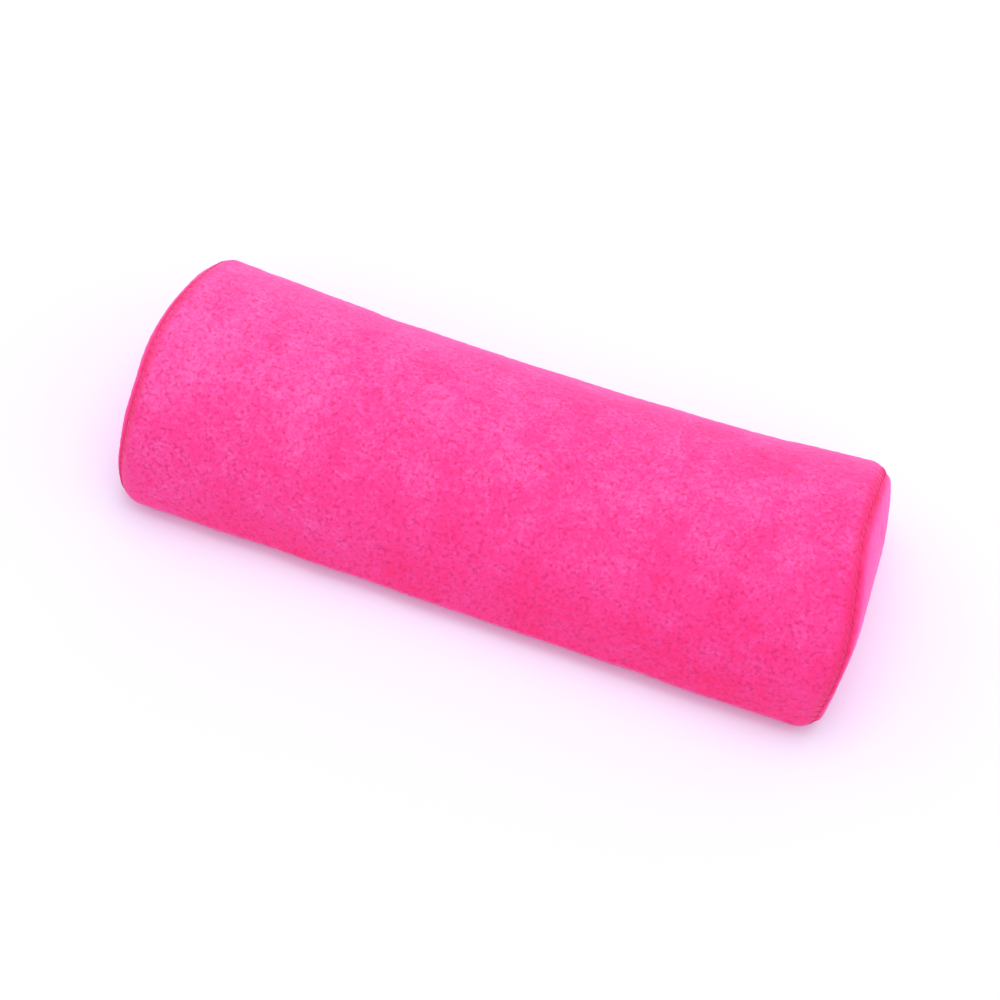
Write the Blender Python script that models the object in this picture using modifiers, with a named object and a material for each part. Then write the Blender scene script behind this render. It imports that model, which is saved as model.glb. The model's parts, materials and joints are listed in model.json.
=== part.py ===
# Manicure hand rest: a half-round foam block in a plush cover that comes off through a zip in its base.
# Lengths are in metres. X runs along the rest, +Y is the side away from the sitter, +Z is up,
# and the origin is the middle of the base, on the surface that the rest stands on.

import bmesh
import bpy
import numpy as np

CLEARANCE = 0.0003
WELD = 0.00001

# The whole rest. The crown drops by the waist half way along.
CUSHION_LENGTH = 0.300
CUSHION_WIDTH = 0.119
CUSHION_HEIGHT = 0.0665
FOOT_RADIUS = 0.009
WAIST_DROP = 0.007
WAIST_SPREAD = 0.7

# Where the end seams lie, and how the cover rounds in to them.
SEAM_SETBACK_CROWN = 0.0115
SEAM_SETBACK_FOOT = 0.0042
SETBACK_START = np.radians(15)
SHOULDER_CROWN = 0.0045
SHOULDER_FOOT = 0.011
SHOULDER_FADE = 4
SHOULDER_TURN = 0.85

# The fabric and the domed D at each end.
PLUSH_THICKNESS = 0.0026
PANEL_EDGE = 0.0013
PANEL_FULLNESS = 3.5
PANEL_CENTRE = 0.42
FOAM_CLEARANCE = 0.0005

# The zip and the hems that it is sewn to.
HEM_WIDTH = 0.008
HEM_GAP = 0.0003
WINDOW_CLEARANCE = 0.0011
TAPE_LAP = 0.0055
TAPE_THICKNESS = 0.0006
COIL_WIDTH = 0.0019
COIL_HEIGHT = 0.0018
COIL_ROUNDING = 0.0005
STOP_LENGTH = 0.003
STOP_HEIGHT = 0.0022

# The slider, its bail and the pull tab.
SLIDER_LENGTH = 0.011
SLIDER_PLATE = 0.0010
SLIDER_RIM = 0.0010
SLIDER_CORNER = 0.0018
SLIDER_NOSE = 0.0016
SLIDER_STOP_GAP = 0.0005
POST_LENGTH = 0.003
POST_THICKNESS = 0.0008
BAIL_LENGTH = 0.0072
BAIL_BAR = 0.0008
BAIL_LEG = 0.0010
BAIL_WIDTH = 0.0016
PULL_LENGTH = 0.022
PULL_THICKNESS = 0.0008
PULL_RAIL = 0.0015
PULL_CORNER = 0.0020
PULL_ROOM = 0.0035

# How finely the surfaces are divided.
DOME_STEPS = 18
FOOT_STEPS = 4
FOLD_STEPS = 6
BASE_STEPS = 6
LENGTH_STEPS = 12
ROW_BUNCHING = 2.2
END_RINGS = 9
CORNER_STEPS = 4
SMOOTH_ANGLE = np.radians(40)

# Across the zip, from its middle out: the post, the coil, the slider, the window and the fold.
TAPE_PARTING = POST_THICKNESS + 2 * CLEARANCE
COIL_OUTER = TAPE_PARTING / 2 + COIL_WIDTH
SLIDER_WIDTH = 2 * (COIL_OUTER + CLEARANCE + SLIDER_RIM)
FOLD_RADIUS = PLUSH_THICKNESS + HEM_GAP / 2
FOLD_Y = SLIDER_WIDTH / 2 + WINDOW_CLEARANCE + FOLD_RADIUS
TAPE_OUTER = FOLD_Y + TAPE_LAP

# Up through the zip, from the floor: the bail, the pull, the slider's face, the tape and the coil.
HEM_TOP = 2 * FOLD_RADIUS
TAPE_BOTTOM = HEM_TOP + CLEARANCE
TAPE_TOP = TAPE_BOTTOM + TAPE_THICKNESS
COIL_BOTTOM = TAPE_TOP + CLEARANCE
COIL_TOP = COIL_BOTTOM + COIL_HEIGHT
SLIDER_TOP = COIL_TOP + CLEARANCE + SLIDER_PLATE
FACE_TOP = TAPE_BOTTOM - CLEARANCE
FACE_BOTTOM = FACE_TOP - SLIDER_PLATE
PULL_AXIS_Z = FACE_BOTTOM - CLEARANCE - PULL_THICKNESS / 2
BAIL_INSIDE = PULL_AXIS_Z - PULL_THICKNESS / 2 - CLEARANCE
BAIL_BOTTOM = BAIL_INSIDE - BAIL_BAR

# Along the zip: the tapes reach the end seams, and the coil stops where a pull laid over still fits.
TAPE_LENGTH = CUSHION_LENGTH - 2 * SEAM_SETBACK_FOOT
SLIDER_X = TAPE_LENGTH / 2 - PULL_ROOM - PULL_LENGTH
COIL_LENGTH = 2 * (SLIDER_X + SLIDER_LENGTH / 2 + SLIDER_STOP_GAP)
EYE_WIDTH = BAIL_WIDTH + 2 * CLEARANCE
EYE_LENGTH = np.hypot(BAIL_LENGTH / 2, PULL_AXIS_Z - BAIL_BOTTOM) - PULL_THICKNESS / 2 + 2 * CLEARANCE
PULL_WIDTH = EYE_WIDTH + 2 * PULL_RAIL


def clear_scene():
    for old in list(bpy.data.objects):
        bpy.data.objects.remove(old, do_unlink=True)


def collection(name, hidden=False):
    made = bpy.data.collections.new(name)
    bpy.context.scene.collection.children.link(made)
    made.hide_render = hidden
    return made


def material(name, colour, roughness, metallic=0.0):
    made = bpy.data.materials.new(name)
    made.use_nodes = True
    made.diffuse_color = (*colour, 1.0)
    shader = made.node_tree.nodes["Principled BSDF"]
    shader.inputs["Base Color"].default_value = (*colour, 1.0)
    shader.inputs["Roughness"].default_value = roughness
    shader.inputs["Metallic"].default_value = metallic
    return made


def add_object(name, bm, finish, home):
    """One object from a bmesh, shaded smooth except across its sharp edges."""
    mesh = bpy.data.meshes.new(name)
    bmesh.ops.recalc_face_normals(bm, faces=bm.faces)
    bm.to_mesh(mesh)
    bm.free()
    mesh.materials.append(finish)
    mesh.shade_smooth()
    mesh.set_sharp_from_angle(angle=SMOOTH_ANGLE)
    made = bpy.data.objects.new(name, mesh)
    home.objects.link(made)
    return made


def mapped_grid(points):
    """A grid laid on rows by columns of points, welded where its edges or whole rows meet."""
    rows, columns = points.shape[:2]
    bm = bmesh.new()
    bmesh.ops.create_grid(bm, x_segments=columns - 1, y_segments=rows - 1, size=1)
    for vertex, place in zip(bm.verts, points.reshape(-1, 3)):
        vertex.co = place
    bmesh.ops.remove_doubles(bm, verts=bm.verts, dist=WELD)
    return bm


def box(low, high):
    bm = bmesh.new()
    bmesh.ops.create_cube(bm, size=1)
    low, high = np.array(low), np.array(high)
    bmesh.ops.scale(bm, vec=high - low, verts=bm.verts)
    bmesh.ops.translate(bm, vec=(low + high) / 2, verts=bm.verts)
    return bm


def round_corners(bm, radius, everywhere=True):
    """Rounds the upright edges of a box, or only the two at its low x end."""
    upright = [edge for edge in bm.edges if abs((edge.verts[0].co - edge.verts[1].co).normalized().z) > 0.5]
    low_x = min(vertex.co.x for vertex in bm.verts)
    chosen = [edge for edge in upright if everywhere or edge.verts[0].co.x < low_x + WELD]
    bmesh.ops.bevel(bm, geom=chosen, offset=radius, segments=CORNER_STEPS, profile=0.5, affect="EDGES")
    return bm


def rounded(made, width, segments=2):
    bevel = made.modifiers.new("rounded edges", "BEVEL")
    bevel.width = width
    bevel.segments = segments
    bevel.limit_method = "ANGLE"
    return made


def boolean(made, other, operation):
    step = made.modifiers.new(operation.lower(), "BOOLEAN")
    step.operation = operation
    step.solver = "EXACT"
    step.object = other
    return made


def cutter(name, bm, home):
    mesh = bpy.data.meshes.new(name)
    bmesh.ops.recalc_face_normals(bm, faces=bm.faces)
    bm.to_mesh(mesh)
    bm.free()
    made = bpy.data.objects.new(name, mesh)
    made.hide_render = True
    made.display_type = "WIRE"
    home.objects.link(made)
    return made


def line(start, end, normal, steps):
    """Columns of y, z and outward normal along a straight stretch."""
    share = np.linspace(0, 1, steps + 1)[:, None]
    places = np.array(start) + share * (np.array(end) - np.array(start))
    return np.hstack([places, np.tile(normal, (steps + 1, 1))])


def ellipse(centre, half_width, half_height, first, last, steps):
    """The same along an arc of an ellipse, or of a circle where both halves are equal."""
    angle = np.linspace(first, last, steps + 1)
    cos, sin = np.cos(angle), np.sin(angle)
    normal = np.column_stack([half_height * cos, half_width * sin])
    normal /= np.linalg.norm(normal, axis=1)[:, None]
    return np.column_stack([centre[0] + half_width * cos, centre[1] + half_height * sin, normal])


def smooth_step(share):
    share = np.clip(share, 0, 1)
    return share * share * (3 - 2 * share)


def mirrored(half):
    """The front half and its copy at the back, in one run over the crown."""
    back = half[::-1][1:].copy()
    back[:, [0, 2, 4]] *= -1
    return np.vstack([half, back])


def section(with_hems):
    """The cover's outline round the rest, as columns that hold what happens to each along the length.

    The front half runs from the base over the foot to the crown: a flat base, a quarter circle
    at the foot and a quarter ellipse up to the crown. With hems it starts inside, on the hem,
    and turns down through the fold at the zip. Each column holds y, z, the outward normal,
    the way in to the foam, the waist's share, the end seam's setback and the shoulder's radius.
    """
    foot_y = CUSHION_WIDTH / 2 - FOOT_RADIUS
    dome_height = CUSHION_HEIGHT - FOOT_RADIUS
    foot = ellipse((-foot_y, FOOT_RADIUS), FOOT_RADIUS, FOOT_RADIUS, 1.5 * np.pi, np.pi, FOOT_STEPS)
    dome = ellipse((0, FOOT_RADIUS), CUSHION_WIDTH / 2, dome_height, np.pi, np.pi / 2, DOME_STEPS)
    rise = np.linspace(0, np.pi / 2, DOME_STEPS + 1)
    base = line((-FOLD_Y, 0), (-foot_y, 0), (0, -1), BASE_STEPS)
    if with_hems:
        hem = line((-FOLD_Y - HEM_WIDTH, HEM_TOP), (-FOLD_Y, HEM_TOP), (0, 1), 1)
        fold = ellipse((-FOLD_Y, FOLD_RADIUS), FOLD_RADIUS, FOLD_RADIUS, np.pi / 2, -np.pi / 2, FOLD_STEPS)
        lower = np.vstack([hem[:-1], fold[:-1], base[:-1], foot[:-1]])
    else:
        middle = line((0, 0), (-FOLD_Y, 0), (0, -1), 1)
        lower = np.vstack([middle[:-1], base[:-1], foot[:-1]])
    lower_roll = SHOULDER_FOOT * smooth_step((-lower[:, 0] - FOLD_Y) / (foot_y - FOLD_Y))
    lower_roll[: -BASE_STEPS - FOOT_STEPS] = 0
    dome_roll = SHOULDER_CROWN + (SHOULDER_FOOT - SHOULDER_CROWN) * np.cos(rise) ** SHOULDER_FADE
    setback_share = smooth_step((rise - SETBACK_START) / (np.pi / 2 - SETBACK_START))
    dome_setback = SEAM_SETBACK_FOOT + (SEAM_SETBACK_CROWN - SEAM_SETBACK_FOOT) * setback_share
    waist = np.concatenate([np.zeros(len(lower)), np.sin(rise) ** WAIST_SPREAD])
    setback = np.concatenate([np.full(len(lower), SEAM_SETBACK_FOOT), dome_setback])
    roll = np.concatenate([lower_roll, dome_roll])
    half = np.vstack([lower, dome])
    inwards = -half[:, 2:]
    inwards[: len(lower) - FOOT_STEPS] = (0, 1)
    return mirrored(np.column_stack([half, inwards, waist, setback, roll]))


def placed(columns, side, share, depth):
    """One row of the surface at a depth below the pile.

    share runs from 0 at the end seam to 1 half way along. The crown drops towards the middle by
    the waist, and near the seam the cover turns in through the shoulder's arc.
    """
    y, z, normal_y, normal_z, in_y, in_z, waist, setback, roll = columns.T
    seam_x = CUSHION_LENGTH / 2 - setback
    x = seam_x * (1 - share**ROW_BUNCHING)
    into_arc = np.clip(x - seam_x + SHOULDER_TURN * roll, 0, SHOULDER_TURN * roll)
    inset = WAIST_DROP * waist * (1 - (x / seam_x) ** 2) + roll - np.sqrt(roll**2 - into_arc**2)
    return np.column_stack([side * x, y - normal_y * depth + in_y * inset, z - normal_z * depth + in_z * inset])


def along(columns, depth):
    """All rows of a surface, from the left seam to the right one."""
    shares = np.linspace(0, 1, LENGTH_STEPS + 1)
    left = [placed(columns, -1, share, depth) for share in shares]
    right = [placed(columns, 1, share, depth) for share in shares[:-1][::-1]]
    return np.array(left + right)


def end_rings(columns, side, depth, seam_gap, crown_x):
    """Rings of an end's domed face, from its edge in to its centre.

    Each ring is the seam's outline drawn in towards a point on the middle line, and x rises from
    the seam to the crown as one minus a power of the ring's size.
    """
    outline = placed(columns, side, 0, 0)
    edge = placed(columns, side, 0, depth)
    centre = np.array([0, CUSHION_HEIGHT * PANEL_CENTRE])
    reach = np.linalg.norm(edge[:, 1:] - centre, axis=1) / np.linalg.norm(outline[:, 1:] - centre, axis=1)
    rings = []
    for size in np.sin(np.linspace(np.pi / 2, 0, END_RINGS + 1)):
        seam_x = np.abs(outline[:, 0]) + seam_gap
        x = seam_x + (crown_x - seam_x) * (1 - (size * reach) ** PANEL_FULLNESS)
        spread = centre + size * (edge[:, 1:] - centre)
        rings.append(np.column_stack([side * x, spread]))
    return rings


def cover_wrap(finish, home):
    """One rectangle of plush round the foam, with both long edges folded in beside the zip."""
    columns = section(with_hems=True)
    outside = along(columns, 0)
    inside = along(columns, PLUSH_THICKNESS)
    loop = np.concatenate([outside, inside[:, ::-1], outside[:, :1]], axis=1)
    middle = (outside + inside) / 2
    rims = [np.concatenate([middle[i], middle[i, ::-1], middle[i, :1]])[None] for i in (0, -1)]
    return add_object("cover_wrap", mapped_grid(np.concatenate([rims[0], loop, rims[1]])), finish, home)


def end_panel(name, side, finish, home):
    """A D of plush, domed outwards by the foam and thinned to its sewn edge."""
    columns = section(with_hems=False)
    outer = end_rings(columns, side, 0, CLEARANCE + PANEL_EDGE, CUSHION_LENGTH / 2)
    inner = end_rings(columns, side, 0, CLEARANCE, CUSHION_LENGTH / 2 - PLUSH_THICKNESS)
    return add_object(name, mapped_grid(np.array(outer[::-1] + inner)), finish, home)


def foam_core(finish, home, cutters):
    """The foam block, with the channel that the hems, the zip and its slider press into it."""
    columns = section(with_hems=False)
    depth = PLUSH_THICKNESS + FOAM_CLEARANCE
    crown_x = CUSHION_LENGTH / 2 - depth
    left = end_rings(columns, -1, depth, 0, crown_x)[:0:-1]
    right = end_rings(columns, 1, depth, 0, crown_x)[1:]
    body = list(along(columns, depth))
    block = mapped_grid(np.array(left + body + right))
    bmesh.ops.triangulate(block, faces=block.faces)
    foam = add_object("foam_core", block, finish, home)
    half_length = CUSHION_LENGTH / 2
    hem_room = max(FOLD_Y + HEM_WIDTH, TAPE_OUTER) + CLEARANCE
    channel = box((-half_length, -hem_room, -CLEARANCE), (half_length, hem_room, TAPE_TOP + CLEARANCE))
    boolean(foam, cutter("hem_channel_cutter", channel, cutters), "DIFFERENCE")
    slider_room = SLIDER_WIDTH / 2 + CLEARANCE
    groove = box(
        (-COIL_LENGTH / 2 - STOP_LENGTH - SLIDER_STOP_GAP, -slider_room, 0),
        (COIL_LENGTH / 2 + STOP_LENGTH + SLIDER_STOP_GAP, slider_room, SLIDER_TOP + CLEARANCE),
    )
    boolean(foam, cutter("slider_groove_cutter", groove, cutters), "DIFFERENCE")
    return foam


def sided(side, near, far):
    """Low and high y of something that lies from near to far on one side of the middle."""
    return (near, far) if side > 0 else (-far, -near)


def zip_tape(name, side, finish, home):
    low_y, high_y = sided(side, TAPE_PARTING / 2, TAPE_OUTER)
    shape = box((-TAPE_LENGTH / 2, low_y, TAPE_BOTTOM), (TAPE_LENGTH / 2, high_y, TAPE_TOP))
    return add_object(name, shape, finish, home)


def zip_coil(name, side, finish, home):
    """One half of the nylon coil, as the bar that its turns fill."""
    low_y, high_y = sided(side, TAPE_PARTING / 2, COIL_OUTER)
    shape = box((-COIL_LENGTH / 2, low_y, COIL_BOTTOM), (COIL_LENGTH / 2, high_y, COIL_TOP))
    return rounded(add_object(name, shape, finish, home), COIL_ROUNDING)


def top_stop(name, side, finish, home):
    low_y, high_y = sided(side, TAPE_PARTING / 2, COIL_OUTER)
    start = COIL_LENGTH / 2 + CLEARANCE
    shape = box((start, low_y, COIL_BOTTOM), (start + STOP_LENGTH, high_y, COIL_BOTTOM + STOP_HEIGHT))
    return rounded(add_object(name, shape, finish, home), COIL_ROUNDING)


def bottom_stop(finish, home):
    """The clip that holds both halves of the coil together where the zip begins."""
    start = -COIL_LENGTH / 2 - CLEARANCE
    low = (start - STOP_LENGTH, -COIL_OUTER, COIL_BOTTOM)
    high = (start, COIL_OUTER, COIL_BOTTOM + STOP_HEIGHT)
    return rounded(add_object("zip_bottom_stop", box(low, high), finish, home), COIL_ROUNDING)


def zip_slider(finish, home, cutters, carriage):
    """The slider: a face plate, a post between the two tapes and a channel over the coil."""
    half_length, half_width = SLIDER_LENGTH / 2, SLIDER_WIDTH / 2
    face = box((-half_length, -half_width, FACE_BOTTOM), (half_length, half_width, FACE_TOP))
    slider = add_object("zip_slider", round_corners(face, SLIDER_CORNER), finish, home)
    shell = box((-half_length, -half_width, COIL_BOTTOM), (half_length, half_width, SLIDER_TOP))
    back = cutter("slider_back_form", round_corners(shell, SLIDER_RIM), cutters)
    coil_room = COIL_OUTER + CLEARANCE
    tunnel = cutter(
        "slider_tunnel_cutter",
        box((-SLIDER_LENGTH, -coil_room, TAPE_TOP), (SLIDER_LENGTH, coil_room, COIL_TOP + CLEARANCE)),
        cutters,
    )
    post_end = half_length - SLIDER_NOSE
    post = cutter(
        "slider_post_form",
        box(
            (post_end - POST_LENGTH, -POST_THICKNESS / 2, FACE_TOP - CLEARANCE),
            (post_end, POST_THICKNESS / 2, SLIDER_TOP - CLEARANCE),
        ),
        cutters,
    )
    bail = cutter(
        "slider_bail_form",
        box(
            (-BAIL_LENGTH / 2, -BAIL_WIDTH / 2, BAIL_BOTTOM),
            (BAIL_LENGTH / 2, BAIL_WIDTH / 2, FACE_BOTTOM + CLEARANCE),
        ),
        cutters,
    )
    eye_half = BAIL_LENGTH / 2 - BAIL_LEG
    eye = cutter(
        "slider_eye_cutter",
        box((-eye_half, -BAIL_WIDTH, BAIL_INSIDE), (eye_half, BAIL_WIDTH, FACE_BOTTOM)),
        cutters,
    )
    boolean(back, tunnel, "DIFFERENCE")
    boolean(bail, eye, "DIFFERENCE")
    for shape in (back, post, bail):
        boolean(slider, shape, "UNION")
    for shape in (slider, back, tunnel, post, bail, eye):
        shape.parent = carriage
    return slider


def zip_pull(finish, home, cutters, hinge):
    """The pull tab. Its eye closes on a bar that turns inside the slider's bail."""
    bar = PULL_THICKNESS / 2
    tab = box((-PULL_LENGTH, -PULL_WIDTH / 2, -bar), (bar, PULL_WIDTH / 2, bar))
    pull = add_object("zip_pull", round_corners(tab, PULL_CORNER, everywhere=False), finish, home)
    eye_box = box((-bar - EYE_LENGTH, -EYE_WIDTH / 2, -PULL_THICKNESS), (-bar, EYE_WIDTH / 2, PULL_THICKNESS))
    eye = cutter("pull_eye_cutter", eye_box, cutters)
    boolean(pull, eye, "DIFFERENCE")
    for shape in (pull, eye):
        shape.parent = hinge
    return pull


def empty(name, place, home, parent=None):
    made = bpy.data.objects.new(name, None)
    made.empty_display_size = 0.01
    made.location = place
    made.parent = parent
    home.objects.link(made)
    return made


def build():
    clear_scene()
    home = collection("manicure_hand_rest")
    cutters = collection("cutters", hidden=True)
    plush = material("pink_plush", (0.90, 0.06, 0.30), 0.95)
    panel_plush = material("pink_panel_plush", (0.92, 0.10, 0.36), 0.9)
    foam = material("white_foam", (0.86, 0.84, 0.76), 1.0)
    tape = material("pink_zip_tape", (0.80, 0.05, 0.25), 0.85)
    nylon = material("pink_nylon_coil", (0.82, 0.07, 0.28), 0.35)
    zinc = material("plated_zinc", (0.72, 0.72, 0.74), 0.25, metallic=1.0)
    foam_core(foam, home, cutters)
    cover_wrap(plush, home)
    end_panel("end_panel_left", -1, panel_plush, home)
    end_panel("end_panel_right", 1, panel_plush, home)
    for name, side in (("front", -1), ("back", 1)):
        zip_tape("zip_tape_" + name, side, tape, home)
        zip_coil("zip_coil_" + name, side, nylon, home)
        top_stop("zip_top_stop_" + name, side, zinc, home)
    bottom_stop(zinc, home)
    carriage = empty("slider_carriage", (SLIDER_X, 0, 0), home)
    hinge = empty("pull_hinge", (0, 0, PULL_AXIS_Z), home, carriage)
    zip_slider(zinc, home, cutters, carriage)
    zip_pull(zinc, home, cutters, hinge)


build()
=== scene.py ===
import json

import bmesh
import bpy
import numpy as np
from mathutils import Matrix, Vector

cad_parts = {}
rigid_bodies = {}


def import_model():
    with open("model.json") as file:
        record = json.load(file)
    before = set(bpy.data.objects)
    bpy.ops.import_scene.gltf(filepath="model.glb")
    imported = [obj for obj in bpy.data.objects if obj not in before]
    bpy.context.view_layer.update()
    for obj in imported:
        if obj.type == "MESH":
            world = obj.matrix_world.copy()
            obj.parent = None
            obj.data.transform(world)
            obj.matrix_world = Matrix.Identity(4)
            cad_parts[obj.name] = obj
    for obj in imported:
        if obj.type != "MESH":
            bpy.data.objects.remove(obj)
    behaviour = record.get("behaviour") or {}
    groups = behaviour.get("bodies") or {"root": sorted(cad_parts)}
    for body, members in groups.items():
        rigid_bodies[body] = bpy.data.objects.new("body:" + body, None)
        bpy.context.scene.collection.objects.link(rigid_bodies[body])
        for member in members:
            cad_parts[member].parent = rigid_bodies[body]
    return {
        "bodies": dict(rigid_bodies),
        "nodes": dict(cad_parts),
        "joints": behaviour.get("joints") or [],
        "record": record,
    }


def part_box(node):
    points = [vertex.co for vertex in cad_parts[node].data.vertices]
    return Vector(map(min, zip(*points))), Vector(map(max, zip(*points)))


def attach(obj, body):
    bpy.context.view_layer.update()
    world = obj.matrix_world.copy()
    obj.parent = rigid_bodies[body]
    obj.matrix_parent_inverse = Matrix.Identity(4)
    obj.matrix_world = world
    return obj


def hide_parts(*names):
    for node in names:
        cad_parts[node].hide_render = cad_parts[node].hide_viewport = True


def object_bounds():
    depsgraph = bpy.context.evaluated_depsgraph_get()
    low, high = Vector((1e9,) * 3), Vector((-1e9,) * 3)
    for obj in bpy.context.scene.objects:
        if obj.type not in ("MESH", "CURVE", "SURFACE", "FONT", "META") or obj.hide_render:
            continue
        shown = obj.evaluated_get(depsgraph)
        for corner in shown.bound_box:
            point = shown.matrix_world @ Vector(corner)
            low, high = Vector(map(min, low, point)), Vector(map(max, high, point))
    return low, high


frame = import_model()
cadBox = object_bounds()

print("frame loaded:", len(frame["nodes"]), "nodes")

# Lengths are in metres. X runs along the rest, the sitter is on the -Y side, and the floor is z = 0.

coarseStep = 4  # the cloth and the inside of the fabric have every fourth row and column of the outside

cushion = {
    "length": cadBox[1].x - cadBox[0].x,
    "width": cadBox[1].y - cadBox[0].y,
    "height": 0.0665,
    "footRadius": 0.009,
    "waistDrop": 0.00716,  # how much lower the crown is half way along
    "waistSkew": 0.20,  # more of it towards the right end
    "waistSpread": 0.7,  # below 1 the sinking spreads further down the sides
    "crownTilt": 0.00044,  # the crown leans down to the right by this much
    "sag": (0.22, 0.08, 0.22),  # mm inwards, as cosines of 0, 1, 2 times the angle round the dome
    "sagFrom": 0.6,  # the sag fades from where the normal points down by this much, over the span
    "sagSpan": 0.4,
    "setbackLeft": (6.93, 0.20, -2.70, 0.70, -0.75, -0.56, 0.22),  # mm from end to seam, likewise
    "setbackRight": (6.38, -0.44, -3.16, 0.55, 0.91, 0.43, -0.07),
    "shoulderLeft": (0.0113, 0.0041, 0.0110),  # radius of the turn: front foot, crown, back foot
    "shoulderRight": (0.0097, 0.0043, 0.0113),
    "shoulderFade": 3.7,  # how fast the radius goes from the feet's to the crown's
    "shoulderTurn": 0.85,  # sine of the angle that the shoulder turns by
    "baseFrom": 0.75,  # the base begins where the normal points down by this much, over the span
    "baseSpan": 0.2,
    "plush": 0.0026,  # thickness of the fabric
    "foldY": 0.00775,  # where the hems fold back beside the zip
    "foldRadius": 0.00275,
    "hemWidth": 0.008,
    "hemLine": 0.0118,  # the hems' stitching, and the groove that it lies in
    "hemGroove": 0.0018,
    "hemDepth": 0.0006,
    "hemFacing": -0.9,  # the groove is pressed where the normal's z is below this
    "cell": 0.0011,  # size of the surface grid's cells
    "finest": 0.42,  # the cells' length at the end seams, as a share of the mean
    "grooveDepth": 0.0001,  # the sewn seam pulls both fabrics this much further in
    "grooveWidth": 0.0036,
    "gatherPitch": 0.0068,  # small gathers that the seam draws in the wrap
    "gatherHeight": 0.00012,
    "gatherReach": 0.008,
    "gatherWander": 0.028,  # size of the noise that shifts the gathers, and the shift in radians
    "gatherShift": 1.6,
    "lumpHeight": 0.00014,  # slow unevenness of foam and fabric
    "lumpSize": 0.036,
    "pileHeight": 0.00005,  # clumps of pile
    "pileSize": 0.0036,
    "shadeReach": 0.0056,  # how far from the seam the pile is parted
}


# Helpers for shapes.


def linear(code):
    # sRGB to linear: below 0.04045 a channel is divided by 12.92, else ((c + 0.055) / 1.055) to the 2.4
    channels = np.array([int(code[i : i + 2], 16) / 255 for i in (1, 3, 5)])
    curve = ((channels + 0.055) / 1.055) ** 2.4
    return (*np.where(channels <= 0.04045, channels / 12.92, curve), 1.0)


def smoothStep(share):
    # 3 s squared minus 2 s cubed, held between 0 and 1
    share = np.clip(share, 0, 1)
    return share * share * (3 - 2 * share)


def softNoise(points, size, seed, waves=70):
    # a sum of plane waves in random directions, each about one size long, with a spread of 1
    rng = np.random.default_rng(seed)
    ways = rng.normal(size=(waves, 3))
    ways /= np.linalg.norm(ways, axis=1)[:, None]
    pulses = ways * (2 * np.pi / size * rng.uniform(0.6, 1.4, waves))[:, None]
    shifts = rng.uniform(0, 2 * np.pi, waves)
    total = np.zeros(points.shape[:-1])
    for pulse, shift in zip(pulses, shifts):
        total += np.cos(points @ pulse + shift)
    return total * np.sqrt(2 / waves)


def normalsOf(grid):
    # the cross product of the grid's two directions, rows first
    normal = np.cross(np.gradient(grid, axis=0), np.gradient(grid, axis=1))
    return normal / np.maximum(np.linalg.norm(normal, axis=2), 1e-12)[..., None]


def gridQuads(rows, columns, first=0):
    # four corners of each cell, turned so that rows cross columns faces the reader
    corner = first + np.arange(rows * columns).reshape(rows, columns)
    quads = [corner[:-1, :-1], corner[1:, :-1], corner[1:, 1:], corner[:-1, 1:]]
    return np.stack([q.ravel() for q in quads], axis=1)


sharpAngle = 1.2  # edges that turn by more than this, in radians, are drawn sharp


def smoothShading(mesh):
    mesh.shade_smooth()
    mesh.set_sharp_from_angle(angle=sharpAngle)


def makePiece(name, points, faces, material):
    mesh = bpy.data.meshes.new(name)
    mesh.from_pydata(points.reshape(-1, 3), [], faces)
    mesh.update(calc_edges=True)
    smoothShading(mesh)
    mesh.materials.append(material)
    piece = bpy.data.objects.new(name, mesh)
    bpy.context.scene.collection.objects.link(piece)
    return piece


def addShade(piece, values):
    # one number for each point, which the plush's colour reads: 1 on the seam, 0 away from it
    attribute = piece.data.attributes.new("seamShade", "FLOAT", "POINT")
    attribute.data.foreach_set("value", np.ascontiguousarray(values, dtype=np.float32))


def closeUp(piece):
    # merge the points that meet at poles and closing edges, and turn all faces outwards
    bm = bmesh.new()
    bm.from_mesh(piece.data)
    bmesh.ops.remove_doubles(bm, verts=bm.verts, dist=1e-6)
    bmesh.ops.recalc_face_normals(bm, faces=bm.faces)
    bm.to_mesh(piece.data)
    bm.free()
    smoothShading(piece.data)


def settle(piece, body, nodes=()):
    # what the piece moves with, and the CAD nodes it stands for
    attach(piece, body)
    if nodes:
        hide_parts(*nodes)
    return piece


# Helpers for materials.


def addNode(tree, kind, settings=None, links=None):
    # a setting is one of the node's own, or else a socket's value, by the socket's name or number
    node = tree.nodes.new(kind)
    for name, value in (settings or {}).items():
        if hasattr(node, str(name)):
            setattr(node, name, value)
        else:
            node.inputs[name].default_value = value
    for socket, source in (links or {}).items():
        tree.links.new(source, node.inputs[socket])
    return node


def newMaterial(name):
    material = bpy.data.materials.new(name)
    material.use_nodes = True
    shader = material.node_tree.nodes["Principled BSDF"]
    return material, material.node_tree, shader


def setShader(shader, settings):
    for name, value in settings.items():
        shader.inputs[name].default_value = value


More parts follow.
